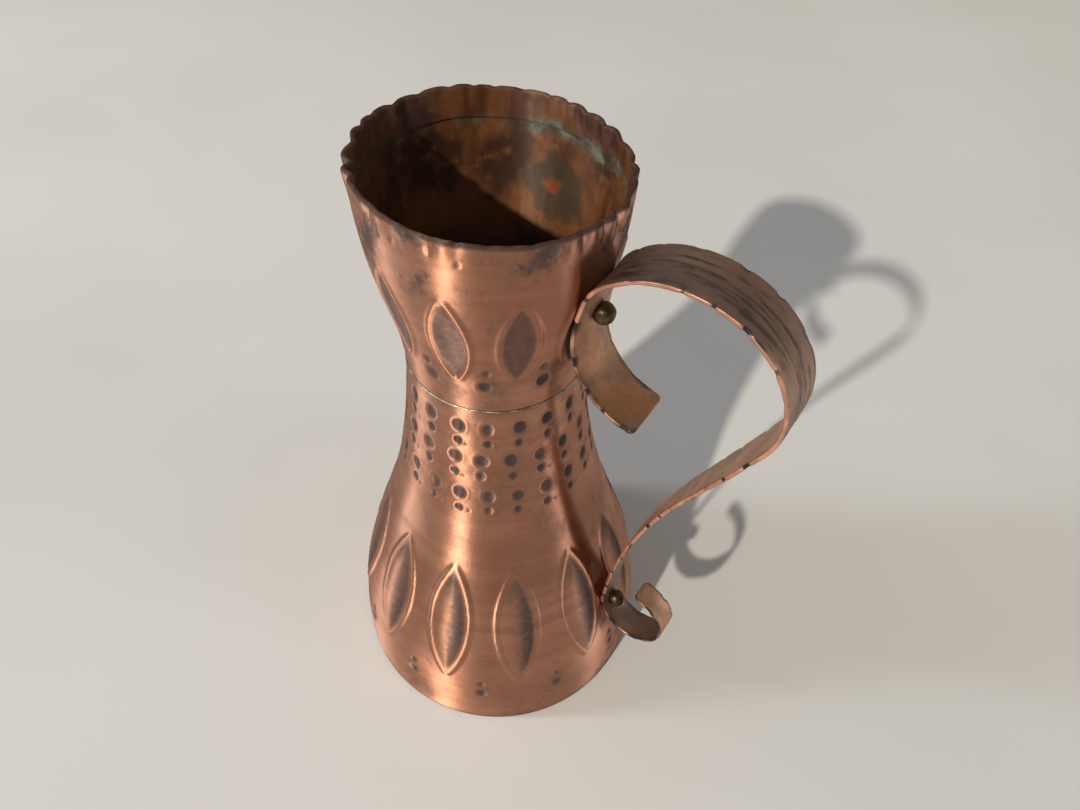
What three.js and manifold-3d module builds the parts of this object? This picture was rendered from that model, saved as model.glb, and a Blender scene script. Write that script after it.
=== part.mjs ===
import * as THREE from 'three';
import Module from 'manifold-3d';
import { mergeVertices } from 'three/addons/utils/BufferGeometryUtils.js';

// Copper water jug, in millimetres. +Z is up, the jug's axis is Z, the handle
// is towards +X, and the jug stands on z = 0.

// ---- driving dimensions -------------------------------------------------
const HEIGHT = 280;
const SEAM_Z = 198;             // waist, where the two sheet cones meet
const BASE_R = 72.2;
const WAIST_R = 34.5;
const RIM_R = 45.1;
const SHEET = 1.0;
const CLEAR = 0.02;             // between coaxial turned pieces
const FACETS = 72;              // round the plain turned pieces

const SEAM_GAP = 0.8;           // height of the solder line at the waist
const SEAM_PROUD = 0.35;

const HEM_DEPTH = 12.3;         // sheet folded inwards below the rim
const HEM_THICK = 0.8;
const CRIMPS = 30;
const CRIMP_DEPTH = 0.75;
const CRIMP_FADE = 10;
const DIP_SLOPE = 0.05;         // the mouth dips towards DIP_ANGLE
const DIP_FROM = 248;
const DIP_ANGLE = THREE.MathUtils.degToRad(43);

const PLATE_THICK = 1.2;
const PLATE_GAP = 0.08;
const FILLET = 2.2;             // solder fillet inside the base

const STRAP_THICK = 1.6;
const STRAP_CUP = 1.2;          // the strap hugs the neck at its upper rivet
const STRAP_CUP_REACH = 16;
const STRAP_CORNER = 2.5;
const LEAN = THREE.MathUtils.degToRad(1.6);
const LEAN_Z = 173;             // the handle leans sideways about this height

const SHANK_R = 1.7;
const HOLE_R = 2.0;
const HEAD_R = 4.0;
const HEAD_SEAT_R = 3.5;
const TAIL_R = 3.0;
const TAIL_HEIGHT = 1.5;
const SEAT_GAP = 0.25;
const TAIL_GAP = 1.0;

// Outer profiles, radius against height, as cubic Bezier curves.
const LOWER = bezier([BASE_R, 0], [72.6, 78.3], [42.2, 87.4], [WAIST_R, SEAM_Z]);
const UPPER = bezier([WAIST_R, SEAM_Z], [35.8, 229.2], [46.1, 243], [RIM_R, HEIGHT]);

// The strap's centre line in the XZ plane, from the free tip of the tongue to
// the end of the lower curl, as a chain of bends: [radius, turn in degrees],
// or [length] for a straight.
const STRAP_START = [67.3, 203.5];
const STRAP_HEADING = 177;
const STRAP_BENDS = [
  [27, -92.5],
  [129, -4.5],
  [8],
  [20.5, -33.5],
  [38.5, -62.5],
  [34.5, -96.5],
  [1074, -2.5],
  [301, 22.5],
  [10.5, 18],
  [7],
  [13.5, 110],
  [18, 138],
];
// Strap width at distances along that line.
const STRAP_WIDTHS = [[0, 21], [52, 22], [120, 19.5], [175, 19.5], [240, 14], [370, 14], [412, 11]];
const UPPER_RIVET_S = 52.5;      // distance along the strap to each rivet
const LOWER_RIVET_S = 345.7;

const COPPER = 0xb87357;
const DARK_COPPER = 0x7d5a48;
const SOLDER = 0x9b938a;
const BRASS = 0x6f6038;

// ---- helpers --------------------------------------------------------------
const wasm = await Module();
wasm.setup();

function bezier(...corners) {
  return new THREE.CubicBezierCurve(...corners.map(([r, z]) => new THREE.Vector2(r, z)));
}

// The point of a profile at a height, found by bisection.
function atHeight(curve, z) {
  let low = 0;
  let high = 1;
  for (let i = 0; i < 40; i += 1) {
    const mid = (low + high) / 2;
    if (curve.getPoint(mid).y < z) low = mid;
    else high = mid;
  }
  return low;
}

function outerRadius(curve, z) {
  return curve.getPoint(atHeight(curve, z)).x;
}

// Horizontal thickness of the sheet where its wall slopes.
function wallThickness(curve, z) {
  const tangent = curve.getTangent(Math.min(Math.max(atHeight(curve, z), 0.001), 0.999));
  return SHEET / Math.abs(tangent.y);
}

function steps(from, to, count) {
  return Array.from({ length: count + 1 }, (_, i) => from + ((to - from) * i) / count);
}

function smooth(low, high, value) {
  return THREE.MathUtils.smoothstep(value, low, high);
}

function positionsOnly(geometry) {
  geometry.deleteAttribute('normal');
  geometry.deleteAttribute('uv');
  return mergeVertices(geometry, 1e-4);
}

// A profile of [radius, height] pairs turned about Z.
function turned(profile, facets) {
  const points = profile.map(([r, z]) => new THREE.Vector2(r, z));
  const geometry = new THREE.LatheGeometry(points, facets);
  geometry.rotateX(Math.PI / 2);
  return positionsOnly(geometry);
}

function toManifold(geometry) {
  return new wasm.Manifold(new wasm.Mesh({
    numProp: 3,
    vertProperties: new Float32Array(geometry.attributes.position.array),
    triVerts: new Uint32Array(geometry.index.array),
  }));
}

function fromManifold(solid) {
  const mesh = solid.getMesh();
  const geometry = new THREE.BufferGeometry();
  geometry.setAttribute('position', new THREE.BufferAttribute(mesh.vertProperties, 3));
  geometry.setIndex(new THREE.BufferAttribute(mesh.triVerts, 1));
  return geometry;
}

function cut(geometry, tools) {
  let solid = toManifold(geometry);
  for (const tool of tools) solid = solid.subtract(toManifold(tool));
  return fromManifold(solid);
}

function part(name, geometry, color, roughness, metalness) {
  geometry.computeVertexNormals();
  const material = new THREE.MeshStandardMaterial({ color, roughness, metalness });
  const mesh = new THREE.Mesh(geometry, material);
  mesh.name = name;
  return mesh;
}

// ---- sheet shells ---------------------------------------------------------
function lowerShell() {
  const top = SEAM_Z - SEAM_GAP / 2;
  const heights = steps(0, top, 9);
  const outer = heights.map((z) => [outerRadius(LOWER, z), z]);
  const inner = heights.map((z) => [outerRadius(LOWER, z) - wallThickness(LOWER, z), z]);
  return turned([...outer, ...inner.reverse(), outer[0]], FACETS);
}

// Scalloped rim, and a mouth that dips towards the handle side.
function shapeRim(geometry) {
  const position = geometry.attributes.position;
  for (let i = 0; i < position.count; i += 1) {
    const x = position.getX(i);
    const y = position.getY(i);
    const z = position.getZ(i);
    const fade = smooth(HEIGHT - CRIMP_FADE, HEIGHT, z);
    const swing = CRIMP_DEPTH * fade * Math.cos(CRIMPS * Math.atan2(y, x));
    const scale = 1 + swing / Math.hypot(x, y);
    const rise = smooth(DIP_FROM, HEIGHT, z);
    const dip = DIP_SLOPE * rise * (x * Math.cos(DIP_ANGLE) + y * Math.sin(DIP_ANGLE));
    position.setXYZ(i, x * scale, y * scale, z - dip);
  }
  return geometry;
}

function upperShell() {
  const bottom = SEAM_Z + SEAM_GAP / 2;
  const hemZ = HEIGHT - HEM_DEPTH;
  const lip = (SHEET + HEM_THICK) / 2;
  const heights = [...steps(bottom, hemZ, 5), HEIGHT - 7.5, HEIGHT - 3.5, HEIGHT - lip];
  const outer = heights.map((z) => [outerRadius(UPPER, z), z]);
  const thickness = (z) => wallThickness(UPPER, z) + (z > hemZ + 0.1 ? HEM_THICK : 0);
  const inner = heights.map((z) => [outerRadius(UPPER, z) - thickness(z), z]);
  inner.splice(6, 0, [outerRadius(UPPER, hemZ) - SHEET - HEM_THICK, hemZ + 0.4]);
  const crown = [outerRadius(UPPER, HEIGHT) - lip, HEIGHT];
  const geometry = turned([...outer, crown, ...inner.reverse(), outer[0]], 4 * CRIMPS);
  return shapeRim(geometry);
}

function waistSeam() {
  const low = SEAM_Z - SEAM_GAP / 2 + CLEAR;
  const high = SEAM_Z + SEAM_GAP / 2 - CLEAR;
  const inner = WAIST_R - SHEET - 0.3;
  return turned([
    [inner, low],
    [WAIST_R, low],
    [WAIST_R + SEAM_PROUD, SEAM_Z],
    [WAIST_R, high],
    [inner, high],
    [inner, low],
  ], FACETS);
}

function basePlate() {
  const radius = BASE_R - SHEET - PLATE_GAP;
  return turned([[0, 0], [radius, 0], [radius, PLATE_THICK], [0, PLATE_THICK]], FACETS);
}

function baseSeam() {
  const floor = PLATE_THICK + CLEAR;
  const wall = outerRadius(LOWER, floor + FILLET) - SHEET - 2 * PLATE_GAP;
  return turned([
    [wall - FILLET, floor],
    [wall, floor],
    [wall, floor + FILLET],
    [wall - 0.3 * FILLET, floor + 0.3 * FILLET],
    [wall - FILLET, floor],
  ], FACETS);
}

// ---- strap handle -----------------------------------------------------------
// Stations along the strap: distance, position in XZ and heading.
function strapLine() {
  let [x, z] = STRAP_START;
  let heading = THREE.MathUtils.degToRad(STRAP_HEADING);
  let distance = 0;
  const stations = [{ distance, x, z, heading }];
  for (const [size, turn] of STRAP_BENDS) {
    const sweep = THREE.MathUtils.degToRad(turn ?? 0);
    const length = turn === undefined ? size : size * Math.abs(sweep);
    const count = Math.max(2, Math.ceil(Math.abs(turn ?? 0) / 9), Math.ceil(length / 14));
    const step = length / count;
    for (let i = 0; i < count; i += 1) {
      const half = sweep / count / 2;
      const chord = half === 0 ? step : step * (Math.sin(half) / half);
      heading += half;
      x += chord * Math.cos(heading);
      z += chord * Math.sin(heading);
      heading += half;
      distance += step;
      stations.push({ distance, x, z, heading });
    }
  }
  return stations;
}

function widthAt(distance) {
  let i = 1;
  while (i < STRAP_WIDTHS.length - 1 && STRAP_WIDTHS[i][0] < distance) i += 1;
  const [d0, w0] = STRAP_WIDTHS[i - 1];
  const [d1, w1] = STRAP_WIDTHS[i];
  return w0 + ((w1 - w0) * (distance - d0)) / (d1 - d0);
}

// Each end is cut square with its corners rounded off.
function withRoundedEnds(line) {
  const total = line[line.length - 1].distance;
  const near = [0.3, 1.2].map((d) => stationAt(line, d));
  const far = [1.2, 0.3].map((d) => stationAt(line, total - d));
  const middle = line.filter((s) => s.distance > 1.5 && s.distance < total - 1.5);
  const all = [line[0], ...near, ...middle, ...far, line[line.length - 1]];
  return all.map((station) => {
    const edge = Math.min(station.distance, total - station.distance);
    const inset = Math.max(0, STRAP_CORNER - edge);
    const loss = STRAP_CORNER - Math.sqrt(STRAP_CORNER ** 2 - inset ** 2);
    return { ...station, half: widthAt(station.distance) / 2 - Math.min(loss, 2) };
  });
}

function stationAt(line, distance) {
  const i = Math.max(1, line.findIndex((s) => s.distance >= distance));
  const a = line[i - 1];
  const b = line[i];
  const t = (distance - a.distance) / (b.distance - a.distance);
  const mix = (key) => a[key] + (b[key] - a[key]) * t;
  return { distance, x: mix('x'), z: mix('z'), heading: mix('heading') };
}

// The ribbon: five points across each face of every station, closed at both ends.
function strapRibbon(line) {
  const stations = withRoundedEnds(line);
  const across = [-1, -0.5, 0, 0.5, 1];
  const ring = 2 * across.length;
  const vertices = [];
  for (const { distance, x, z, heading, half } of stations) {
    const reach = (distance - UPPER_RIVET_S) / STRAP_CUP_REACH;
    const cup = STRAP_CUP * Math.exp(-reach * reach);
    const normal = [-Math.sin(heading), Math.cos(heading)];
    for (const side of [1, -1]) {
      for (const a of across.map((value) => value * side)) {
        const offset = side * (STRAP_THICK / 2) + cup * a * a;
        vertices.push(x + normal[0] * offset, a * half, z + normal[1] * offset);
      }
    }
  }
  const index = [];
  for (let i = 0; i + 1 < stations.length; i += 1) {
    for (let k = 0; k < ring; k += 1) {
      const a = i * ring + k;
      const b = i * ring + ((k + 1) % ring);
      index.push(a, a + ring, b, b, a + ring, b + ring);
    }
  }
  const last = (stations.length - 1) * ring;
  for (let k = 0; k + 1 < across.length; k += 1) {
    const far = ring - 1 - k;
    index.push(k, k + 1, far, far, k + 1, far - 1);
    index.push(last + k, last + far, last + k + 1, last + k + 1, last + far, last + far - 1);
  }
  const geometry = new THREE.BufferGeometry();
  geometry.setAttribute('position', new THREE.BufferAttribute(new Float32Array(vertices), 3));
  geometry.setIndex(index);
  return geometry;
}

// ---- rivets -----------------------------------------------------------------
// Turned about local Z, with z = 0 on the strap's centre line, head outwards.
function rivet() {
  const head = STRAP_THICK / 2 + SEAT_GAP;
  const tail = -(STRAP_THICK / 2 + SHEET + TAIL_GAP);
  const centre = head + Math.sqrt(HEAD_R ** 2 - HEAD_SEAT_R ** 2);
  const start = Math.asin(HEAD_SEAT_R / HEAD_R);
  const ball = steps(start, Math.PI, 6).map((angle) => [
    HEAD_R * Math.sin(angle),
    centre - HEAD_R * Math.cos(angle),
  ]);
  ball[ball.length - 1][0] = 0;
  return turned([
    [0, tail - TAIL_HEIGHT],
    [TAIL_R * 0.6, tail - TAIL_HEIGHT * 0.85],
    [TAIL_R * 0.93, tail - TAIL_HEIGHT * 0.5],
    [TAIL_R, tail],
    [SHANK_R, tail],
    [SHANK_R, head],
    ...ball,
  ], 20);
}

function rivetHole() {
  const geometry = new THREE.CylinderGeometry(HOLE_R, HOLE_R, 12, 20);
  geometry.rotateX(Math.PI / 2);
  return positionsOnly(geometry);
}

// Moves a piece from a rivet's own axes to its place on the strap.
function atRivet(geometry, station) {
  const outwards = new THREE.Vector3(Math.sin(station.heading), 0, -Math.cos(station.heading));
  const turn = new THREE.Quaternion().setFromUnitVectors(new THREE.Vector3(0, 0, 1), outwards);
  geometry.applyQuaternion(turn);
  geometry.translate(station.x, 0, station.z);
  return geometry;
}

function lean(geometry) {
  geometry.translate(0, 0, -LEAN_Z);
  geometry.rotateX(LEAN);
  geometry.translate(0, 0, LEAN_Z);
  return geometry;
}

// ---- assembly -----------------------------------------------------------------
const line = strapLine();
const upperStation = stationAt(line, UPPER_RIVET_S);
const lowerStation = stationAt(line, LOWER_RIVET_S);
// On the way down the strap's heading is reversed, so both rivets face outwards.
lowerStation.heading += Math.PI;

const holeAt = (station) => atRivet(rivetHole(), station);
const strap = cut(strapRibbon(line), [holeAt(upperStation), holeAt(lowerStation)]);
const upper = cut(upperShell(), [lean(holeAt(upperStation))]);
const lower = cut(lowerShell(), [lean(holeAt(lowerStation))]);

const group = new THREE.Group();
group.add(part('lower_shell', lower, COPPER, 0.38, 1));
group.add(part('upper_shell', upper, COPPER, 0.38, 1));
group.add(part('waist_seam', waistSeam(), SOLDER, 0.4, 1));
group.add(part('base_plate', basePlate(), DARK_COPPER, 0.5, 1));
group.add(part('base_seam', baseSeam(), SOLDER, 0.5, 1));

const handle = new THREE.Group();
handle.position.set(0, 0, LEAN_Z);
handle.rotation.x = LEAN;
const handleParts = [
  part('handle_strap', strap, DARK_COPPER, 0.45, 1),
  part('upper_rivet', atRivet(rivet(), upperStation), BRASS, 0.35, 1),
  part('lower_rivet', atRivet(rivet(), lowerStation), BRASS, 0.35, 1),
];
for (const mesh of handleParts) {
  mesh.position.z = -LEAN_Z;
  handle.add(mesh);
}
group.add(handle);

export default group;
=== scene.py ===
"""Looks of the copper water jug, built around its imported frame. Metres, +Z up, handle towards +X."""

import math

import bpy
import numpy as np
from mathutils import Matrix, Vector


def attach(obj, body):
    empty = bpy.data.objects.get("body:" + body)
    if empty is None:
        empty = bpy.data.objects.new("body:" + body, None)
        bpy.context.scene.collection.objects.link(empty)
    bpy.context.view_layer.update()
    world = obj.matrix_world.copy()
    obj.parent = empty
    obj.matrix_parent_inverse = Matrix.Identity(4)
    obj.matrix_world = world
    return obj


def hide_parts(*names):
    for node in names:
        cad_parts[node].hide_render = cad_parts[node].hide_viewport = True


MM = 0.001
TAU = 2 * math.pi

# ---- dimensions, in millimetres: the same values as the CAD part ----------------
HEIGHT = 280
SEAM_Z = 198
BASE_R = 72.2
WAIST_R = 34.5
RIM_R = 45.1
SHEET = 1.0
SEAM_GAP = 0.8
HEM_DEPTH = 12.3
HEM_THICK = 0.8
DIP_SLOPE = 0.05
DIP_FROM = 248
DIP_ANGLE = math.radians(43)
LOWER = [(BASE_R, 0), (72.6, 78.3), (42.2, 87.4), (WAIST_R, SEAM_Z)]
UPPER = [(WAIST_R, SEAM_Z), (35.8, 229.2), (46.1, 243), (RIM_R, HEIGHT)]

STRAP_THICK = 1.6
STRAP_CUP = 1.2
STRAP_CUP_REACH = 16
STRAP_CORNER = 2.5
STRAP_START = (67.3, 203.5)
STRAP_HEADING = 177
# The strap's centre line as a chain of bends, (radius, turn in degrees), or (length,) for a straight.
STRAP_BENDS = [
    (27, -92.5),
    (129, -4.5),
    (8,),
    (20.5, -33.5),
    (38.5, -62.5),
    (34.5, -96.5),
    (1074, -2.5),
    (301, 22.5),
    (10.5, 18),
    (7,),
    (13.5, 110),
    (18, 138),
]
STRAP_WIDTHS = [(0, 21), (52, 22), (120, 19.5), (175, 19.5), (240, 14), (370, 14), (412, 11)]
UPPER_RIVET_S = 52.5
LOWER_RIVET_S = 345.7
LEAN = math.radians(1.6)
LEAN_Z = 173

SHANK_R = 1.7
HEAD_R = 4.0
HEAD_SEAT_R = 3.5
TAIL_R = 3.0
TAIL_HEIGHT = 1.5
SEAT_GAP = 0.25
TAIL_GAP = 1.0

# ---- punched pattern: heights and depths in millimetres, angles in degrees from +X --
COLUMNS = 440  # mesh columns round each shell
LIP_INSET = 0.3  # rounding of the sheet's cut edges

LOWER_OVALS = 12
LOWER_OVAL_START = -45
LOWER_OVAL_Z = (38.0, 108.4)
LOWER_OVAL_HALF = 9.9
LOWER_OVAL_TIP = 1.2  # radius of the rounded tips
LOWER_DOME = 0.95
LOWER_LINE = (0.52, 0.85)  # raised line: height and half width
UPPER_OVALS = 11
UPPER_OVAL_START = -74
UPPER_OVAL_Z = (215.6, 256.6)
UPPER_OVAL_HALF = 6.9
UPPER_OVAL_TIP = 2.0
UPPER_SINK = 0.28
UPPER_LINE = (0.5, 1.05)

# Neck rows: number of groups, angle of one group, height of the big dot.
NECK_ROWS = [(19, -57.7, 188.7), (20, -61.5, 171.2), (21, -57.6, 152.0)]
NECK_SMALL_DROP = 8.1
NECK_TINY_DROP = 9.5
NECK_TINY_TURN = 6.0
BIG_DOT_R = 3.35
SMALL_DOT_R = 2.3
TINY_DOT_R = 1.0
BIG_DOT_DEPTH = 0.62
SMALL_DOT_DEPTH = 0.5
TINY_DOT_DEPTH = 0.2
DOT_STRETCH = 1.14  # the marks are taller than wide

# Pairs of dots between the ovals: heights of the small and the big one.
LOWER_PAIR_Z = (36.1, 27.4)
UPPER_PAIR_Z = (220.4, 212.2)
PAIR_DEPTH = 0.6
SMUDGE_R = 5.6  # dark smudge round each pair

# Rim: number of crimps, how deep and how far down they go, and the dots between them.
CRIMPS = 30
CRIMP_DEPTH = 0.7
CRIMP_FADE = 11
CALM_ANGLE = -58  # the crimps are weakest at this angle, and opposite it
RIM_WANDER = 0.35
RIM_DOT_DROP = 5.6
RIM_DOT_DEPTH = 0.22

# Stain on the inner wall: angle in degrees, height and radius.
STAIN_ANGLE = 96
STAIN_Z = 245
STAIN_R = 15

# ---- camera and colours --------------------------------------------------------------
LENS = 27.03
CAMERA_AT = (0.13615, -0.17426, 0.42048)
CAMERA_RIGHT = (0.81668, 0.57642, 0.02782)
CAMERA_BACK = (0.35745, -0.54311, 0.75978)

COPPER = (0.66, 0.325, 0.21)
COPPER_SOFT = (0.52, 0.245, 0.155)
COPPER_RINGS = (0.44, 0.2, 0.13)
# Tarnish colours, also used as painted shade on the lower ovals' floors.
TARNISH_AND_SHADE = (0.05, 0.035, 0.035)
TARNISH_AND_SHADE_BROWN = (0.085, 0.054, 0.047)
INSIDE_BROWN = (0.23, 0.085, 0.028)
INSIDE_DARK = (0.06, 0.024, 0.014)
INSIDE_OCHRE = (0.3, 0.135, 0.035)
# painted shade colour for deep inside the jug
INSIDE_PAINTED_SHADE = (0.022, 0.011, 0.008)
HEM_RED = (0.085, 0.028, 0.017)
VERDIGRIS = (0.06, 0.052, 0.03)
VERDIGRIS_PALE = (0.2, 0.21, 0.155)
STAIN_HALO = (0.045, 0.04, 0.026)
STAIN_RED = (0.32, 0.04, 0.016)

STRAP_FACE = (0.39, 0.24, 0.175)
STRAP_FACE_DARK = (0.26, 0.175, 0.14)
STRAP_WARM = (0.36, 0.2, 0.11)
STRAP_SOOT = (0.12, 0.093, 0.08)
UNDER_PINK = (0.58, 0.31, 0.2)
UNDER_BROWN = (0.4, 0.23, 0.14)
UNDER_GREY = (0.27, 0.2, 0.155)
UNDER_ORANGE = (0.5, 0.235, 0.095)
UNDER_GRIT = (0.28, 0.16, 0.1)
UNDER_GRIME = (0.09, 0.065, 0.05)
EDGE_WORN = (0.82, 0.4, 0.27)
EDGE_NICK = (0.045, 0.04, 0.04)

BRASS = (0.13, 0.092, 0.042)
BRASS_DARK = (0.05, 0.036, 0.02)
BRASS_GRIT = (0.05, 0.04, 0.025)
SOLDER = (0.5, 0.44, 0.34)
SOLDER_DARK = (0.24, 0.18, 0.12)
SOLDER_GRIT = (0.07, 0.055, 0.04)
BASE = (0.4, 0.22, 0.15)
BASE_DARK = (0.2, 0.12, 0.085)
BASE_GRIT = (0.08, 0.055, 0.04)
PAPER = (0.7, 0.69, 0.67)
PAPER_PALE = (0.745, 0.74, 0.73)

WARM_LIGHT = (1.0, 0.93, 0.8)
WINDOW_LIGHT = (0.84, 0.92, 1.0)
SIDE_LIGHT = (0.86, 0.94, 1.0)
ROOM_LIGHT = (1.0, 0.94, 0.88, 1)
ROOM_STRENGTH = 0.235

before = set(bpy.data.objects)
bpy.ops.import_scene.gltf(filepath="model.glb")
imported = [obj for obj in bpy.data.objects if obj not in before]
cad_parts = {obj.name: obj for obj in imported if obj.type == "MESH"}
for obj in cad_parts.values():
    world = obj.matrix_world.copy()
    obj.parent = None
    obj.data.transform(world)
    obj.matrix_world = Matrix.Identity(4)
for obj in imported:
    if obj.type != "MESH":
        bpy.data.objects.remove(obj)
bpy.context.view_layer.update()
rng = np.random.default_rng(7)


# ---- numbers -------------------------------------------------------------------------
def smooth(low, high, value):
    t = np.clip((value - low) / (high - low), 0, 1)
    return t * t * (3 - 2 * t)


def ridge(distance, width):
    return np.exp(-((distance / width) ** 2))


def waves(points, seed, length, count=9):
    """A smooth random field of about -1 to 1, with waves of about the given length on each axis."""
    random = np.random.default_rng(seed)
    total = np.zeros(points.shape[:-1])
    for _ in range(count):
        direction = random.normal(0, 1, 3)
        direction /= np.linalg.norm(direction)
        step = TAU * direction / np.asarray(length, float) * random.uniform(0.7, 1.4)
        total += np.sin(points @ step + random.uniform(0, TAU))
    return total / math.sqrt(count / 2) * 0.6


def bezier(corners, count=1200):
    """Radius, height, slant length and outward normal of a profile, against its height."""
    t = np.linspace(0, 1, count)[:, None]
    a, b, c, d = [np.array(p, float) for p in corners]
    point = (1 - t) ** 3 * a + 3 * (1 - t) ** 2 * t * b + 3 * (1 - t) * t * t * c + t**3 * d
    slope = 3 * ((1 - t) ** 2 * (b - a) + 2 * (1 - t) * t * (c - b) + t * t * (d - c))
    slope /= np.linalg.norm(slope, axis=1, keepdims=True)
    slant = np.concatenate([[0], np.cumsum(np.linalg.norm(np.diff(point, axis=0), axis=1))])
    return {"r": point[:, 0], "z": point[:, 1], "slant": slant, "nr": slope[:, 1], "nz": -slope[:, 0]}


def at(profile, key, z):
    return np.interp(z, profile["z"], profile[key])


def spaced(bands):
    """Heights through bands of (from, to, spacing)."""
    heights = []
    for low, high, gap in bands:
        count = max(1, round(abs(high - low) / gap))
        heights += list(np.linspace(low, high, count, endpoint=False))
    return heights + [bands[-1][1]]


# ---- meshes --------------------------------------------------------------------------
def ring_faces(rows, columns, joins):
    i = np.repeat(np.arange(joins), columns)
    j = np.tile(np.arange(columns), joins)
    up = (i + 1) % rows
    side = (j + 1) % columns
    return np.stack([i * columns + j, i * columns + side, up * columns + side, up * columns + j], 1)


def faces_inwards(points, quads):
    corners = points[quads]
    normal = np.cross(corners[:, 2] - corners[:, 0], corners[:, 3] - corners[:, 1])
    return (normal * (corners.mean(1) - points.mean(0))).sum() < 0


def add_cap(vertices, faces, start, columns, turned):
    """A fan of triangles over one end ring."""
    centre = len(vertices)
    vertices.append(np.mean(vertices[start : start + columns], axis=0).tolist())
    for k in range(columns):
        pair = [start + k, start + (k + 1) % columns]
        if turned:
            pair.reverse()
        faces.append([centre] + pair)


def closed_mesh(name, rings, caps=False, marks=None):
    """A closed mesh from rings of points in millimetres. The rows join up in a loop, or end in caps."""
    rows, columns = rings.shape[:2]
    points = rings.reshape(-1, 3) * MM
    quads = ring_faces(rows, columns, rows - 1 if caps else rows)
    flipped = faces_inwards(points, quads)
    faces = [face[::-1] if flipped else face for face in quads.tolist()]
    vertices = points.tolist()
    if caps:
        add_cap(vertices, faces, 0, columns, not flipped)
        add_cap(vertices, faces, (rows - 1) * columns, columns, flipped)
    mesh = bpy.data.meshes.new(name)
    mesh.from_pydata(vertices, [], faces)
    mesh.shade_smooth()
    for key, values in (marks or {}).items():
        flat = np.concatenate([values.reshape(-1), np.zeros(len(vertices) - values.size)])
        layer = mesh.attributes.new(key, "FLOAT", "POINT")
        layer.data.foreach_set("value", flat.astype(np.float32))
    piece = bpy.data.objects.new(name, mesh)
    bpy.context.scene.collection.objects.link(piece)
    return piece


def joined(bands, keys):
    """Rings and marks from bands of (rings, marks). A mark that a band doesn't give is zero there."""
    marks = {}
    for key in keys:
        values = [np.broadcast_to(given.get(key, 0.0), rings.shape[:2]) for rings, given in bands]
        marks[key] = np.concatenate(values)
    return np.concatenate([rings for rings, _ in bands]), marks


def leaned(points):
    """Turns strap and rivet points by the handle's lean about X at LEAN_Z."""
    turned = points.copy()
    y = points[..., 1]
    z = points[..., 2] - LEAN_Z
    turned[..., 1] = y * math.cos(LEAN) - z * math.sin(LEAN)
    turned[..., 2] = y * math.sin(LEAN) + z * math.cos(LEAN) + LEAN_Z
    return turned


# ---- punched pattern -------------------------------------------------------------------
class Relief:
    """Height out of the sheet and darkening, on a grid of angles and heights on one shell."""

    def __init__(self, profile, theta, z):
        self.profile = profile
        self.theta = theta
        self.slant = at(profile, "slant", z)
        self.radius = at(profile, "r", z)
        self.height = np.zeros(theta.shape)
        self.dark = np.zeros(theta.shape)

    def darken(self, amount):
        self.dark = np.maximum(self.dark, amount)

    def round_from(self, angle):
        """Distance round the shell from an angle."""
        turn = (self.theta - math.radians(angle) + math.pi) % TAU - math.pi
        return turn * self.radius

    def dot(self, angle, z, radius, depth, dark=1.0):
        """A round punch mark: a shallow bowl with a slightly raised rim."""
        stretch = DOT_STRETCH * rng.uniform(0.94, 1.08)
        across = self.round_from(angle + rng.normal(0, 0.5))
        up = self.slant - at(self.profile, "slant", z + rng.normal(0, 0.3))
        q = np.hypot(across * stretch, up / stretch) / (radius * rng.uniform(0.93, 1.06))
        bowl = -depth * np.clip(1 - q * q, 0, 1) ** 1.3
        self.height += bowl + 0.12 * depth * ridge(q - 1.2, 0.25)
        strength = dark * rng.uniform(0.8, 1.0)
        self.darken(strength * smooth(1.2, 0.6, q))
        self.darken(0.42 * strength * smooth(2.1, 0.9, q))

    def oval(self, angle, z_range, half, tip):
        """Distances outside a pointed oval with rounded tips and across it, and the share up it."""
        low, high = [at(self.profile, "slant", z) for z in z_range]
        reach = (high - low) / 2 - tip
        half = half - tip
        across = self.round_from(angle)
        up = self.slant - (low + high) / 2
        arc = (reach**2 + half**2) / (2 * half)
        outside = np.hypot(np.abs(across) + arc - half, up) - arc
        beyond = np.abs(up) - reach
        past_tip = np.maximum(outside, np.hypot(beyond, across))
        outside = np.where(beyond > 0, past_tip, outside) - tip
        return outside, across, up / reach

    def lower_oval(self, angle):
        """A raised line round a domed floor, darkened at the top and on one side: patina with painted
        shade.
        """
        half = LOWER_OVAL_HALF
        outside, across, share_up = self.oval(angle, LOWER_OVAL_Z, half, LOWER_OVAL_TIP)
        inside = np.clip(-outside / half, 0, 1)
        height, width = LOWER_LINE
        self.height += height * ridge(outside, width) + LOWER_DOME * (1 - (1 - inside) ** 2.2)
        # Patina and painted shade: the half of the floor at rising angle, the top under the line and a
        # ring just inside it are darkened like the dome's shaded side.
        self.darken(0.85 * smooth(0.1, 0.35, inside) * smooth(-half * 0.8, half * 0.55, across))
        self.darken(0.7 * smooth(0.2, 0.75, share_up) * smooth(0.08, 0.25, inside))
        self.darken(0.5 * ridge(outside + 1.6, 0.7))

    def upper_oval(self, angle):
        """A raised line round a flat, sunk, darkened floor."""
        outside, _, _ = self.oval(angle, UPPER_OVAL_Z, UPPER_OVAL_HALF, UPPER_OVAL_TIP)
        inside = np.clip(-outside / UPPER_OVAL_HALF, 0, 1)
        height, width = UPPER_LINE
        self.height += height * ridge(outside, width) - UPPER_SINK * smooth(0.0, 0.6, inside)
        self.darken(0.74 * smooth(0.06, 0.3, inside))


def lower_ovals(relief):
    for k in range(LOWER_OVALS):
        relief.lower_oval(LOWER_OVAL_START + 360 * k / LOWER_OVALS)


def upper_ovals(relief):
    for k in range(UPPER_OVALS):
        relief.upper_oval(UPPER_OVAL_START + 360 * k / UPPER_OVALS)


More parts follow.
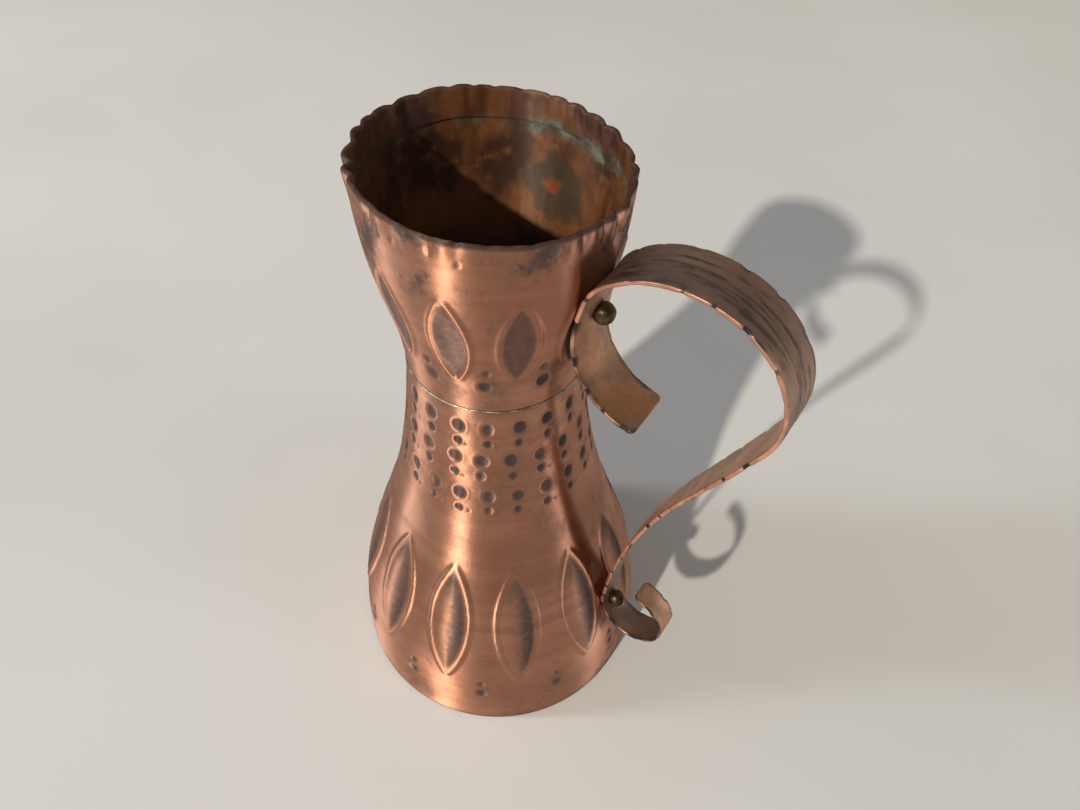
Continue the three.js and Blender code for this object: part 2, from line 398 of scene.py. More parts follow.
def dot_pairs(relief, count, start, heights):
    small_z, big_z = heights
    for k in range(count):
        angle = start + 360 * (k + 0.5) / count
        relief.dot(angle, small_z, SMALL_DOT_R * 0.95, PAIR_DEPTH * 0.8, 0.85)
        relief.dot(angle, big_z, BIG_DOT_R, PAIR_DEPTH)
        relief.dot(angle, (small_z + big_z) / 2, SMUDGE_R, 0, 0.5)


def neck_rows(relief):
    for count, start, z in NECK_ROWS:
        for k in range(count):
            angle = start + 360 * k / count
            relief.dot(angle, z, BIG_DOT_R, BIG_DOT_DEPTH)
            relief.dot(angle, z - NECK_SMALL_DROP, SMALL_DOT_R, SMALL_DOT_DEPTH)
            relief.dot(angle + NECK_TINY_TURN, z - NECK_TINY_DROP, TINY_DOT_R, TINY_DOT_DEPTH, 0.6)


def rim_dots(relief):
    """A faint mark where each two crimps meet."""
    for angle in crimp_angles():
        z = HEIGHT - RIM_DOT_DROP + rng.normal(0, 1.0)
        radius = rng.uniform(0.9, 1.5)
        relief.dot(angle, z, radius, RIM_DOT_DEPTH, rng.uniform(0.2, 0.8))


# ---- sheet -------------------------------------------------------------------------------
def grid(heights):
    theta = np.arange(COLUMNS) * TAU / COLUMNS
    return np.meshgrid(theta, np.array(heights, float))


def ring_points(theta, radius, z):
    return np.stack([radius * np.cos(theta), radius * np.sin(theta), z], -1)


def on_profile(profile, theta, z):
    return ring_points(theta, at(profile, "r", z), z)


def surface(profile, theta, z, height, depth):
    """Points a given height out of the sheet and a given horizontal depth into the wall."""
    radius = at(profile, "r", z) - depth + height * at(profile, "nr", z)
    return ring_points(theta, radius, z + height * at(profile, "nz", z))


def wall(profile, z):
    """Horizontal thickness of the sheet."""
    return SHEET / np.maximum(at(profile, "nr", z), 0.2)


def edge_ring(profile, z, depth):
    theta, level = grid([z])
    return surface(profile, theta, level, 0, depth)


def dents(theta, z, profile, seed):
    """Gentle unevenness of hand-raised sheet."""
    points = on_profile(profile, theta, z)
    return 0.16 * waves(points, seed, (46, 46, 60)) + 0.05 * waves(points, seed + 1, (15, 15, 22))


# ---- lower shell -------------------------------------------------------------------------
LOWER_TOP = SEAM_Z - SEAM_GAP / 2


def lower_ends(z):
    """Share of relief that is left near the shell's two edges."""
    return smooth(0, 5, z) * smooth(LOWER_TOP, LOWER_TOP - 3, z)


def lower_outside(profile):
    bands = [(LIP_INSET, 22, 2.7), (22, 41, 0.95), (41, 112, 1.5), (112, 136, 2.4)]
    bands.append((136, LOWER_TOP - LIP_INSET, 0.68))
    theta, z = grid(spaced(bands))
    relief = Relief(profile, theta, z)
    lower_ovals(relief)
    dot_pairs(relief, LOWER_OVALS, LOWER_OVAL_START, LOWER_PAIR_Z)
    neck_rows(relief)
    ends = lower_ends(z)
    height = relief.height * ends + dents(theta, z, profile, 11) * ends
    relief.darken(0.75 * smooth(3.2, 0.6, z) + 0.35 * smooth(LOWER_TOP - 1.6, LOWER_TOP, z))
    patches = 0.3 + 0.45 * waves(on_profile(profile, theta, z), 13, (30, 30, 14))
    relief.darken(smooth(12, 1.5, z) * np.clip(patches, 0, 0.75))
    return surface(profile, theta, z, height, 0), {"dark": relief.dark}


def lower_inside(profile):
    bands = [(LOWER_TOP - LIP_INSET, 112, 4), (112, 20, 5), (20, LIP_INSET, 5)]
    theta, z = grid(spaced(bands))
    height = dents(theta, z, profile, 11) * lower_ends(z)
    return surface(profile, theta, z, height, wall(profile, z)), {"dark": 0.2, "inside": 1}


def lower_shell():
    profile = bezier(LOWER)
    bands = [
        lower_outside(profile),
        (edge_ring(profile, LOWER_TOP, LIP_INSET), {"dark": 0.3}),
        (edge_ring(profile, LOWER_TOP, wall(profile, LOWER_TOP) - LIP_INSET), {"dark": 0.3}),
        lower_inside(profile),
        (edge_ring(profile, 0, wall(profile, 0) - LIP_INSET), {"dark": 0.7}),
        (edge_ring(profile, 0, LIP_INSET), {"dark": 0.7}),
    ]
    rings, marks = joined(bands, ("dark", "inside"))
    return closed_mesh("jug_lower_shell", rings, marks=marks)


# ---- upper shell -------------------------------------------------------------------------
UPPER_FOOT = SEAM_Z + SEAM_GAP / 2
HEM_Z = HEIGHT - HEM_DEPTH
LIP = (SHEET + HEM_THICK) / 2  # radius of the rounded lip


def crimp_phase(theta):
    """Uneven crimps: the pitch drifts round the rim."""
    drift = 0.55 * np.sin(3 * theta + 0.7) + 0.42 * np.sin(7 * theta + 2.1) + 0.25 * np.sin(11 * theta)
    return CRIMPS * theta / 2 + drift


def crimp_angles():
    """Angles, in degrees, where two crimps meet."""
    theta = np.linspace(-math.pi, math.pi, 7201)
    folds = np.cos(crimp_phase(theta))
    return np.degrees(theta[:-1][np.sign(folds[:-1]) != np.sign(folds[1:])])


def crimp_size(theta):
    """Uneven strength of the crimps round the rim."""
    uneven = 0.45 * np.sin(5 * theta + 1.2) + 0.35 * np.sin(13 * theta) + 0.3 * np.sin(8 * theta + 2)
    return CRIMP_DEPTH * (1 + uneven) * (0.16 + 0.9 * np.sin(theta - math.radians(CALM_ANGLE)) ** 2)


def shape_rim(points):
    """Crimps at the edge, and a mouth that dips towards the handle side."""
    x, y, z = [points[..., k] for k in range(3)]
    theta = np.arctan2(y, x)
    phase = crimp_phase(theta)
    lobe = 0.55 * np.cos(2 * phase) + 0.5 * (1.7 * np.abs(np.cos(phase)) ** 0.8 - 1.05)
    swing = crimp_size(theta) * lobe * smooth(HEIGHT - CRIMP_FADE, HEIGHT, z)
    scale = 1 + swing / np.hypot(x, y)
    rise = smooth(DIP_FROM, HEIGHT, z)
    dip = DIP_SLOPE * rise * (x * math.cos(DIP_ANGLE) + y * math.sin(DIP_ANGLE))
    nick = 0.45 * smooth(HEIGHT - 4, HEIGHT, z) * np.minimum(lobe, 0)
    wander = RIM_WANDER * rise * waves(points * [1, 1, 0], 33, (34, 34, 34))
    return np.stack([x * scale, y * scale, z - dip + nick + wander], -1)


def upper_outside(profile):
    bands = [(UPPER_FOOT + LIP_INSET, 208, 1.2), (208, 224, 0.75), (224, 262, 1.1)]
    bands.append((262, HEIGHT - LIP, 0.75))
    theta, z = grid(spaced(bands))
    relief = Relief(profile, theta, z)
    upper_ovals(relief)
    dot_pairs(relief, UPPER_OVALS, UPPER_OVAL_START, UPPER_PAIR_Z)
    rim_dots(relief)
    height = (relief.height + dents(theta, z, profile, 31)) * smooth(UPPER_FOOT, UPPER_FOOT + 3, z)
    relief.darken(0.35 * smooth(UPPER_FOOT + 1.6, UPPER_FOOT, z))
    relief.darken(0.8 * smooth(HEIGHT - 2.4, HEIGHT - 0.8, z))
    return surface(profile, theta, z, height, 0), {"dark": relief.dark, "rim": smooth(236, 270, z)}


def lip_crown(profile):
    """Rings over the folded lip."""
    rings = []
    for angle in (45, 90, 135):
        angle = math.radians(angle)
        ring = edge_ring(profile, HEIGHT - LIP, LIP * (1 - math.cos(angle)))
        ring[..., 2] += LIP * math.sin(angle)
        rings.append(ring)
    return np.concatenate(rings), {"dark": 1, "inside": 0.5, "rim": 1}


def upper_inside(profile):
    """The folded hem, and below it the wall, where the ovals show faintly."""
    bands = [(HEIGHT - LIP, HEM_Z + 1.1, 0.9), (HEM_Z + 1.1, HEM_Z - 0.4, 0.375)]
    bands += [(HEM_Z - 0.4, 205, 1.5), (205, UPPER_FOOT + LIP_INSET, 2.2)]
    theta, z = grid(spaced(bands))
    relief = Relief(profile, theta, z)
    upper_ovals(relief)
    height = dents(theta, z, profile, 31) + 0.08 * relief.height * smooth(262, 256, z)
    height *= smooth(UPPER_FOOT, UPPER_FOOT + 3, z)
    fold = HEM_THICK * smooth(HEM_Z - 0.2, HEM_Z + 0.9, z)
    marks = {"dark": 0.1, "inside": 1, "green": green_band(theta, z), "stain": stain(theta, z, profile)}
    return surface(profile, theta, z, height, wall(profile, z) + fold), marks


def upper_shell():
    profile = bezier(UPPER)
    bands = [
        upper_outside(profile),
        lip_crown(profile),
        upper_inside(profile),
        (edge_ring(profile, UPPER_FOOT, wall(profile, UPPER_FOOT) - LIP_INSET), {"dark": 0.3}),
        (edge_ring(profile, UPPER_FOOT, LIP_INSET), {"dark": 0.3}),
    ]
    rings, marks = joined(bands, ("dark", "inside", "rim", "green", "stain"))
    return closed_mesh("jug_upper_shell", shape_rim(rings), marks=marks)


def green_band(theta, z):
    """Verdigris left in the corner under the folded hem."""
    points = ring_points(theta, np.full(theta.shape, RIM_R), z)
    patchy = 0.8 + 0.35 * waves(points, 41, (13, 13, 13), 12)
    wander = 1.6 * waves(points, 42, (30, 30, 30))
    side = 0.45 + 0.55 * np.cos(theta - math.radians(75)) ** 2
    return np.clip(ridge(z - HEM_Z - wander, 4.2) * patchy * side * 0.85, 0, 1)


def stain(theta, z, profile):
    """Strength of the stain: 1 in its middle, 0 at its ragged edge and beyond."""
    turn = (theta - math.radians(STAIN_ANGLE) + math.pi) % TAU - math.pi
    across = turn * at(profile, "r", z)
    ragged = 1 + 0.12 * waves(on_profile(profile, theta, z), 43, (14, 14, 14))
    distance = np.hypot(across / 1.15, z - STAIN_Z) * ragged
    return np.clip(1 - distance / STAIN_R, 0, 1)


# ---- solder line ----------------------------------------------------------------------------
def waist_bead():
    theta = np.arange(COLUMNS) * TAU / COLUMNS
    around = ring_points(theta, np.full(COLUMNS, WAIST_R), np.full(COLUMNS, SEAM_Z))
    swell = 1 + 0.22 * waves(around, 51, (11, 11, 11)) + 0.12 * waves(around, 52, (4, 4, 4))
    wander = 0.12 * waves(around, 53, (30, 30, 30))
    rings = []
    for turn in np.linspace(0, TAU, 14, endpoint=False):
        out = 0.45 * math.cos(turn) if math.cos(turn) > 0 else 1.25 * math.cos(turn)
        radius = WAIST_R - 0.05 + out * np.where(out > 0, swell, 1)
        z = SEAM_Z + wander + 0.42 * math.sin(turn) * swell
        rings.append(ring_points(theta, radius, z))
    return closed_mesh("waist_solder", np.stack(rings))


# ---- strap handle ---------------------------------------------------------------------------
def strap_line(step=0.8):
    """Distance, X, Z and heading at even steps along the strap."""
    x, z = STRAP_START
    heading = math.radians(STRAP_HEADING)
    distance = 0
    stations = [(distance, x, z, heading)]
    for bend in STRAP_BENDS:
        sweep = math.radians(bend[1]) if len(bend) == 2 else 0
        length = bend[0] * abs(sweep) if len(bend) == 2 else bend[0]
        count = max(2, math.ceil(length / step))
        for _ in range(count):
            half = sweep / count / 2
            chord = length / count * (math.sin(half) / half if half else 1)
            heading += half
            x += chord * math.cos(heading)
            z += chord * math.sin(heading)
            heading += half
            distance += length / count
            stations.append((distance, x, z, heading))
    return np.array(stations)


def along_strap(line, distance):
    """X, Z and heading at one or more distances along the strap."""
    return [np.interp(distance, line[:, 0], line[:, k]) for k in (1, 2, 3)]


def strap_half_widths(s, total):
    """Half the strap's width, with its end corners rounded."""
    widths = np.array(STRAP_WIDTHS, float)
    half = np.interp(s, widths[:, 0], widths[:, 1]) / 2
    inset = np.maximum(0, STRAP_CORNER - np.minimum(s, total - s))
    return half - np.minimum(STRAP_CORNER - np.sqrt(STRAP_CORNER**2 - inset**2), 2)


def strap_section():
    """Points round the cross-section: place across, lift towards a face, and bulge of the edge."""
    face = np.linspace(-1, 1, 19)
    section = [(a, 1.0, 0.0) for a in face[::-1]]
    section += [(-1, math.cos(t), -math.sin(t)) for t in (0.7, 1.57, 2.44)]
    section += [(a, -1.0, 0.0) for a in face]
    section += [(1, math.cos(t), math.sin(t)) for t in (2.44, 1.57, 0.7)]
    return section


def edge_nicks(s, side):
    """Small hammer nicks in the strap's edges, about 14 mm apart."""
    shifted = s + 4.5 * np.sin(s / 17 + side) + 2.5 * np.sin(s / 7.3 + 2 * side) + 5 * side
    phase = np.abs((shifted / 14) % 1 - 0.5) * 14
    return smooth(2.0, 0.7, phase) * (0.7 + 0.3 * np.sin(s / 11 + 3 * side))


def strap_row(s, half, a, lift, bulge):
    """One point of the cross-section all along the strap: offset, place across, and marks."""
    bevel = 0.42
    thin = np.minimum(1, 0.55 + 0.5 * smooth(0, 0.5, np.minimum(s, s[-1] - s)))
    spot = np.stack([s, a * half, np.full(len(s), 40 * np.sign(lift))], -1)
    grain = waves(spot, 61, (34, 2.9, 1e6), 14)
    fine = waves(spot, 62, (9, 1.5, 1e6), 14)
    loop = smooth(60, 84, s) * smooth(LOWER_RIVET_S + 6, LOWER_RIVET_S - 30, s)
    outer = 1.0 if lift > 0.5 else 0.0
    rough = (0.1 * grain + 0.05 * fine) * (0.25 + 0.75 * loop * outer)
    hammered = 0.07 * waves(spot, 63, (15, 12, 1e6))
    nick = edge_nicks(s, np.sign(a)) * smooth(0.82, 1.0, abs(a))
    side = half - bevel * (1 - abs(bulge)) if abs(a) == 1 else half - bevel
    offset = STRAP_THICK / 2 * lift * thin * (1 - 0.3 * nick)
    if abs(lift) == 1:
        offset = offset + rough + hammered
    offset = offset + STRAP_CUP * ridge(s - UPPER_RIVET_S, STRAP_CUP_REACH) * a * a
    streak = smooth(-0.2, 0.9, grain) * 0.6 + 0.35 * smooth(0.0, 0.8, fine)
    ends = 1 - smooth(44, 60, s) * smooth(LOWER_RIVET_S + 4, LOWER_RIVET_S - 25, s)
    grime = ends * (0.62 + 0.3 * waves(spot, 64, (9, 9, 1e6))) * smooth(0.62, 1.0, abs(a))
    marks = {
        "outer": outer,
        "edge": 1.0 if abs(lift) < 0.9 else 0.25 * smooth(0.9, 1.0, abs(a)),
        "dark": np.clip(streak * (0.35 + 0.65 * loop) * outer + 0.95 * nick + grime, 0, 1),
        "along": s * MM,
        "across": a * half * MM,
    }
    return offset, a * (side - 0.45 * nick), marks


def strap():
    line = strap_line()
    total = line[-1, 0]
    tips = [0.0, 0.15, 0.5]
    between = [s for s in line[:, 0] if 0.9 < s < total - 0.9]
    s = np.array(tips + between + [total - tip for tip in reversed(tips)])
    x, z, heading = along_strap(line, s)
    half = strap_half_widths(s, total)
    section = strap_section()
    rings = np.zeros((len(s), len(section), 3))
    marks = {key: np.zeros(rings.shape[:2]) for key in ("outer", "edge", "dark", "along", "across")}
    for k, (a, lift, bulge) in enumerate(section):
        offset, across, row_marks = strap_row(s, half, a, lift, bulge)
        rings[:, k, 0] = x - np.sin(heading) * offset
        rings[:, k, 1] = across
        rings[:, k, 2] = z + np.cos(heading) * offset
        for key, values in row_marks.items():
            marks[key][:, k] = values
    return closed_mesh("handle", leaned(rings), caps=True, marks=marks)


# ---- rivets ---------------------------------------------------------------------------------
HEAD_FOOT = STRAP_THICK / 2 + SEAT_GAP
HEAD_CENTRE = HEAD_FOOT + math.sqrt(HEAD_R**2 - HEAD_SEAT_R**2)
TAIL_FOOT = -(STRAP_THICK / 2 + SHEET + TAIL_GAP)


def rivet_outline():
    """Radius and height from the tail's tip, along the shank, to the top of the head."""
    outline = [(0.2, TAIL_FOOT - TAIL_HEIGHT)]
    for angle in np.radians(np.linspace(20, 90, 7)):
        outline.append((TAIL_R * math.sin(angle), TAIL_FOOT - TAIL_HEIGHT * math.cos(angle)))
    outline += [(TAIL_R - 0.15, TAIL_FOOT + 0.05), (SHANK_R + 0.1, TAIL_FOOT + 0.05)]
    outline += [(SHANK_R, TAIL_FOOT + 0.2), (SHANK_R, HEAD_FOOT - 0.2)]
    outline += [(SHANK_R + 0.1, HEAD_FOOT - 0.02), (HEAD_SEAT_R - 0.2, HEAD_FOOT - 0.02)]
    for angle in np.linspace(math.asin(HEAD_SEAT_R / HEAD_R), 3.08, 22):
        outline.append((HEAD_R * math.sin(angle), HEAD_CENTRE - HEAD_R * math.cos(angle)))
    return outline


def peened(rings, seed):
    """Small facets left by the hammer on the head and the tail."""
    dimple = 0.09 * waves(rings, seed, (3.4, 3.4, 3.4)) + 0.03 * waves(rings, seed + 1, (1.3, 1.3, 1.3))
    away = rings - np.array([0, 0, HEAD_CENTRE])
    away /= np.maximum(np.linalg.norm(away, axis=-1, keepdims=True), 1e-6)
    height = rings[..., 2]
    worked = smooth(HEAD_FOOT, HEAD_FOOT + 0.4, height) + smooth(TAIL_FOOT, TAIL_FOOT - 0.4, height)
    return rings + away * (dimple * worked)[..., None]


def rivet(name, distance, turned_round, seed):
    """Round head outside, shank, and a peened tail inside the sheet."""
    theta = np.arange(48) * TAU / 48
    rings = [ring_points(theta, np.full(48, r), np.full(48, z)) for r, z in rivet_outline()]
    rings = peened(np.stack(rings), seed)
    x, z, heading = along_strap(strap_line(), distance)
    if turned_round:
        heading += math.pi
    outwards = Vector((math.sin(heading), 0, -math.cos(heading)))
    turn = np.array(Vector((0, 0, 1)).rotation_difference(outwards).to_matrix())
    return closed_mesh(name, leaned(rings @ turn.T + np.array([x, 0, z])), caps=True)


# ---- materials --------------------------------------------------------------------------------
class Graph:
    """A material's node graph, built one node at a time."""

    def __init__(self, name):
        self.material = bpy.data.materials.new(name)
        self.material.use_nodes = True
        self.tree = self.material.node_tree
        self.shader = self.tree.nodes["Principled BSDF"]
        self.place = self.add("ShaderNodeTexCoord").outputs["Object"]

    def add(self, kind, values=None, **settings):
        node = self.tree.nodes.new(kind)
        for key, value in settings.items():
            setattr(node, key, value)
        for key, value in (values or {}).items():
            self.put(node.inputs[key], value)
        return node

    def put(self, socket, value):
        if isinstance(value, bpy.types.NodeSocket):
            self.tree.links.new(value, socket)
        elif isinstance(value, tuple) and socket.type == "RGBA":
            socket.default_value = (*value, 1.0)
        else:
            socket.default_value = value

    def mark(self, name):
        return self.add("ShaderNodeAttribute", attribute_name=name).outputs["Fac"]

    def vector(self, operation, value, source=None):
        values = {0: source or self.place, 1: value}
        return self.add("ShaderNodeVectorMath", values, operation=operation).outputs[0]

    def noise(self, scale, detail=3.0, source=None, roughness=0.55):
        values = {"Vector": source or self.place, "Scale": scale, "Detail": detail, "Roughness": roughness}
        return self.add("ShaderNodeTexNoise", values).outputs["Fac"]

    def ramp(self, value, low, high, to_low=0.0, to_high=1.0):
        values = {"Value": value, "From Min": low, "From Max": high, "To Min": to_low, "To Max": to_high}
        return self.add("ShaderNodeMapRange", values, interpolation_type="SMOOTHSTEP").outputs[0]

    def maths(self, operation, a, b):
        return self.add("ShaderNodeMath", {0: a, 1: b}, operation=operation, use_clamp=True).outputs[0]

    def blend(self, share, a, b):
        node = self.add("ShaderNodeMix", {0: share, 6: a, 7: b}, data_type="RGBA")
        return node.outputs[2]

    def blend_value(self, share, a, b):
        node = self.add("ShaderNodeMix", {0: share, 2: a, 3: b}, data_type="FLOAT")
        return node.outputs[0]

    def bump(self, height, strength, distance, below=None):
        values = {"Height": height, "Strength": strength, "Distance": distance}
        if below is not None:
            values["Normal"] = below
        return self.add("ShaderNodeBump", values).outputs[0]

    def finish(self, **sockets):
        for name, value in sockets.items():
            self.put(self.shader.inputs[name.replace("_", " ")], value)
        return self.material


def copper_body():
    """Brushed copper outside, with dark patina and some painted shade in the marks, and a stained brown
    inside that darkens lower down as painted shade.
    """
    g = Graph("copper_body")
    rings = g.noise(1.0, 4.0, g.vector("MULTIPLY", (5, 5, 1400)), 0.65)
    broad_rings = g.noise(1.0, 2.0, g.vector("MULTIPLY", (4, 4, 160)))
    clouds = g.noise(22, 4.0)
    grit = g.noise(420, 3.0)
    copper = g.blend(g.ramp(clouds, 0.36, 0.66), COPPER, COPPER_SOFT)
    copper = g.blend(g.ramp(broad_rings, 0.35, 0.7, 0.0, 0.5), copper, COPPER_RINGS)
    blotches = g.noise(48, 5.0, g.vector("MULTIPLY", (1, 1, 0.7)), 0.62)
    drips = g.maths("MULTIPLY", g.ramp(blotches, 0.44, 0.61, 0.0, 0.95), g.mark("rim"))
    faint = g.maths("MAXIMUM", drips, g.ramp(blotches, 0.46, 0.72, 0.0, 0.6))
    soft = g.maths("ADD", g.maths("MAXIMUM", g.mark("dark"), faint), g.ramp(grit, 0.3, 0.7, -0.06, 0.06))
    cover = g.ramp(soft, 0.04, 1.0)
    # Tarnish, which also paints the shade of the lower ovals, laid over the copper by the dark mark.
    tarnish_and_shade = g.blend(g.ramp(clouds, 0.35, 0.65), TARNISH_AND_SHADE, TARNISH_AND_SHADE_BROWN)
    outside = g.blend(cover, copper, tarnish_and_shade)

    brown, green = inner_wall(g)
    inside = g.mark("inside")
    tint = g.blend(inside, outside, brown)

    rough = g.ramp(rings, 0.3, 0.7, 0.35, 0.44)
    rough = g.blend_value(cover, rough, 0.64)
    rough = g.blend_value(inside, rough, 0.68)
    dull = g.maths("MAXIMUM", g.maths("MULTIPLY", cover, 0.8), g.maths("MULTIPLY", inside, 0.7))
    metal = g.blend_value(g.maths("MAXIMUM", dull, green), 1.0, 0.0)
    normal = g.bump(rings, 0.16, 0.0004)
    normal = g.bump(grit, 0.12, 0.0003, normal)
    tangent = g.add("ShaderNodeTangent", direction_type="RADIAL", axis="Z").outputs[0]
    return g.finish(
        Base_Color=tint,
        Metallic=metal,
        Roughness=rough,
        Normal=normal,
        Tangent=tangent,
        Anisotropic=1.0,
        Anisotropic_Rotation=0.25,
    )


def inner_wall(g):
    """Colour of the inner wall, stained, redder on the hem, darker lower down as painted shade, and its
    share of verdigris.
    """
    blots = g.noise(55, 5.0, g.vector("MULTIPLY", (1, 1, 0.6)))
    specks = g.noise(160, 5.0)
    brown = g.blend(g.ramp(blots, 0.38, 0.62), INSIDE_BROWN, INSIDE_DARK)
    brown = g.blend(g.ramp(specks, 0.5, 0.75, 0.0, 0.6), brown, INSIDE_OCHRE)
    verdigris = g.blend(g.ramp(specks, 0.4, 0.7), VERDIGRIS, VERDIGRIS_PALE)
    green = g.ramp(g.maths("MULTIPLY", g.mark("green"), g.ramp(specks, 0.2, 0.6, 0.4, 1.3)), 0.15, 0.8)
    brown = g.blend(green, brown, verdigris)
    spot = g.maths("ADD", g.mark("stain"), g.ramp(specks, 0.25, 0.75, -0.2, 0.2))
    halo = g.maths("MULTIPLY", g.ramp(spot, 0.12, 0.4), g.ramp(spot, 1.05, 0.8))
    brown = g.blend(g.maths("MULTIPLY", halo, 0.75), brown, STAIN_HALO)
    brown = g.blend(g.ramp(spot, 0.86, 1.1), brown, STAIN_RED)
    height = g.add("ShaderNodeSeparateXYZ", {0: g.place}).outputs[2]
    runs = g.noise(130, 4.0, g.vector("MULTIPLY", (1, 1, 0.12)))
    on_hem = g.ramp(height, 0.263, 0.271)
    brown = g.blend(g.maths("MULTIPLY", g.ramp(runs, 0.42, 0.6, 0.15, 0.85), on_hem), brown, HEM_RED)
    # Painted shade: below about 245 mm the inner wall darkens, standing in for the shade deep in the jug.
    return g.blend(g.ramp(height, 0.245, 0.205, 0.0, 0.75), brown, INSIDE_PAINTED_SHADE), green


def copper_strap():
    """Dark streaked outer face, mottled inner face, worn edges that are grimy at both ends."""
    g = Graph("copper_strap")
    lay = g.add("ShaderNodeCombineXYZ", {0: g.mark("along"), 1: g.mark("across")}).outputs[0]
    dark = g.mark("dark")
    edge = g.mark("edge")
    outer = g.mark("outer")
    streaks = g.noise(1.0, 5.0, g.vector("MULTIPLY", (70, 620, 1), lay), 0.6)
    fine = g.noise(1.0, 4.0, g.vector("MULTIPLY", (260, 1900, 1), lay), 0.6)
    clouds = g.noise(60, 4.0)
    patches = g.noise(115, 5.0, roughness=0.62)
    bloom = g.noise(75, 4.0, g.vector("ADD", (0.3, 0.1, 0.2)))
    grit = g.noise(700, 3.0)

    face = g.blend(g.ramp(clouds, 0.35, 0.65), STRAP_FACE, STRAP_FACE_DARK)
    face = g.blend(g.ramp(bloom, 0.46, 0.66, 0.0, 0.4), face, STRAP_WARM)
    soot = g.maths("ADD", dark, g.ramp(streaks, 0.3, 0.7, -0.3, 0.3))
    face = g.blend(g.ramp(soot, 0.1, 1.0), face, STRAP_SOOT)
    under = g.blend(g.ramp(clouds, 0.38, 0.62), UNDER_PINK, UNDER_BROWN)
    under = g.blend(g.ramp(patches, 0.48, 0.68, 0.0, 0.8), under, UNDER_GREY)
    under = g.blend(g.ramp(bloom, 0.5, 0.66, 0.0, 0.75), under, UNDER_ORANGE)
    under = g.blend(g.ramp(grit, 0.45, 0.8, 0.0, 0.4), under, UNDER_GRIT)
    under = g.blend(g.ramp(dark, 0.2, 1.0, 0.0, 0.85), under, UNDER_GRIME)
    tint = g.blend(outer, under, face)

    worn = g.maths("MULTIPLY", g.ramp(edge, 0.2, 0.9), g.ramp(dark, 0.75, 0.35))
    worn = g.maths("MULTIPLY", worn, g.ramp(g.noise(120, 4.0), 0.4, 0.6, 0.35, 1.0))
    tint = g.blend(worn, tint, EDGE_WORN)
    nick = g.maths("MULTIPLY", g.ramp(edge, 0.1, 0.5), g.ramp(dark, 0.5, 0.85))
    tint = g.blend(nick, tint, EDGE_NICK)
    rough = g.blend_value(worn, g.ramp(fine, 0.3, 0.7, 0.42, 0.6), 0.3)
    normal = g.bump(g.maths("MULTIPLY", streaks, outer), 0.35, 0.0006)
    normal = g.bump(patches, 0.22, 0.0008, normal)
    normal = g.bump(fine, 0.1, 0.0003, normal)
    return g.finish(Base_Color=tint, Metallic=0.9, Roughness=rough, Normal=normal)


def rivet_brass():
    g = Graph("rivet_brass")
    clouds = g.noise(420, 4.0)
    grit = g.noise(1500, 3.0)
    tint = g.blend(g.ramp(clouds, 0.38, 0.62), BRASS, BRASS_DARK)
    tint = g.blend(g.ramp(grit, 0.5, 0.8, 0.0, 0.5), tint, BRASS_GRIT)
    rough = g.ramp(clouds, 0.3, 0.7, 0.3, 0.5)
    normal = g.bump(grit, 0.3, 0.0003)
    return g.finish(Base_Color=tint, Metallic=0.95, Roughness=rough, Normal=normal)


def solder(name):
    g = Graph(name)
    clouds = g.noise(180, 4.0)
    grit = g.noise(1400, 3.0)
    tint = g.blend(g.ramp(clouds, 0.4, 0.6), SOLDER, SOLDER_DARK)
    tint = g.blend(g.ramp(grit, 0.5, 0.8, 0.0, 0.6), tint, SOLDER_GRIT)
    rough = g.ramp(clouds, 0.3, 0.7, 0.35, 0.55)
    normal = g.bump(grit, 0.35, 0.0002)
    return g.finish(Base_Color=tint, Metallic=1.0, Roughness=rough, Normal=normal)


def base_copper():
    g = Graph("copper_base")
    clouds = g.noise(45, 5.0)
    grit = g.noise(600, 4.0)
    tint = g.blend(g.ramp(clouds, 0.35, 0.65), BASE, BASE_DARK)
    tint = g.blend(g.ramp(grit, 0.55, 0.8, 0.0, 0.7), tint, BASE_GRIT)
    rough = g.ramp(grit, 0.3, 0.7, 0.4, 0.62)
    normal = g.bump(clouds, 0.3, 0.002)
    normal = g.bump(grit, 0.25, 0.0004, normal)
    return g.finish(Base_Color=tint, Metallic=0.95, Roughness=rough, Normal=normal)


def floor_paper():
    g = Graph("floor_paper")
    clouds = g.noise(2.2, 3.0)
    fibre = g.noise(900, 3.0)
    tint = g.blend(g.ramp(clouds, 0.35, 0.65), PAPER, PAPER_PALE)
    normal = g.bump(fibre, 0.06, 0.0005)
    return g.finish(Base_Color=tint, Roughness=0.75, Normal=normal)


# ---- scene ------------------------------------------------------------------------------------
def dress(piece, material, node):
    piece.data.materials.append(material)
    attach(piece, "root")
    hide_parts(node)


def add_camera():
    data = bpy.data.cameras.new("view")
    data.lens = LENS
    data.sensor_width = 36
    data.sensor_fit = "HORIZONTAL"
    data.clip_start = 0.01
    camera = bpy.data.objects.new("view", data)
    back = Vector(CAMERA_BACK).normalized()
    up = back.cross(Vector(CAMERA_RIGHT).normalized()).normalized()
    turn = Matrix((up.cross(back), up, back)).transposed().to_4x4()
    camera.matrix_world = Matrix.Translation(CAMERA_AT) @ turn
    bpy.context.scene.collection.objects.link(camera)
    bpy.context.scene.camera = camera


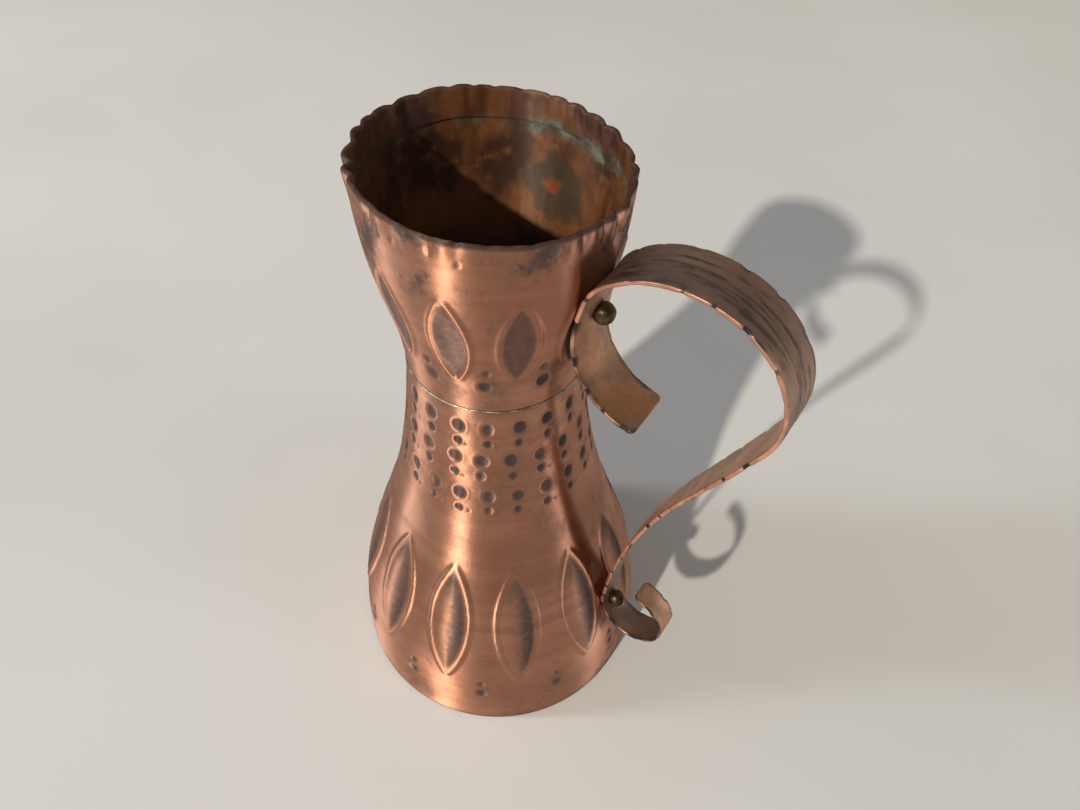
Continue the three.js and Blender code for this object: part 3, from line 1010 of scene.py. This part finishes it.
def add_floor():
    size = 3.0
    mesh = bpy.data.meshes.new("floor")
    corners = [(-size, -size, 0), (size, -size, 0), (size, size, 0), (-size, size, 0)]
    mesh.from_pydata(corners, [], [(0, 1, 2, 3)])
    mesh.materials.append(floor_paper())
    floor = bpy.data.objects.new("floor", mesh)
    floor.location.z = -0.0002
    bpy.context.scene.collection.objects.link(floor)


def direction(azimuth, elevation):
    a = math.radians(azimuth)
    e = math.radians(elevation)
    return Vector((math.cos(e) * math.cos(a), math.cos(e) * math.sin(a), math.sin(e)))


def add_light(name, kind, towards, distance, energy, tint, **settings):
    """A lamp aimed at the middle of the jug, standing off at an azimuth and elevation in degrees."""
    data = bpy.data.lights.new(name, kind)
    data.energy = energy
    data.color = tint
    for key, value in settings.items():
        setattr(data, key, value)
    lamp = bpy.data.objects.new(name, data)
    away = direction(*towards)
    lamp.location = away * distance + Vector((0, 0, 0.15))
    lamp.rotation_euler = away.to_track_quat("Z", "Y").to_euler()
    bpy.context.scene.collection.objects.link(lamp)


def add_lights():
    add_light("key", "SUN", (-91, 33.5), 2, 2.5, WARM_LIGHT, angle=math.radians(1.8))
    window = {"shape": "RECTANGLE", "size": 0.18, "size_y": 1.3}
    add_light("window", "AREA", (-143, 28), 1.9, 13, WINDOW_LIGHT, **window)
    add_light("side", "AREA", (8, 6), 1.6, 4.5, SIDE_LIGHT, shape="DISK", size=0.5)
    world = bpy.data.worlds.new("room")
    world.use_nodes = True
    background = world.node_tree.nodes["Background"]
    background.inputs["Color"].default_value = ROOM_LIGHT
    background.inputs["Strength"].default_value = ROOM_STRENGTH
    bpy.context.scene.world = world
    bpy.context.scene.view_settings.view_transform = "Standard"


add_camera()
add_floor()
add_lights()

body = copper_body()
brass = rivet_brass()
dress(lower_shell(), body, "lower_shell")
dress(upper_shell(), body, "upper_shell")
dress(waist_bead(), solder("waist_solder"), "waist_seam")
dress(strap(), copper_strap(), "handle_strap")
dress(rivet("rivet_upper", UPPER_RIVET_S, False, 71), brass, "upper_rivet")
dress(rivet("rivet_lower", LOWER_RIVET_S, True, 75), brass, "lower_rivet")
for node_name, material in (("base_plate", base_copper()), ("base_seam", solder("base_solder"))):
    node_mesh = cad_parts[node_name].data
    node_mesh.materials.clear()
    node_mesh.materials.append(material)
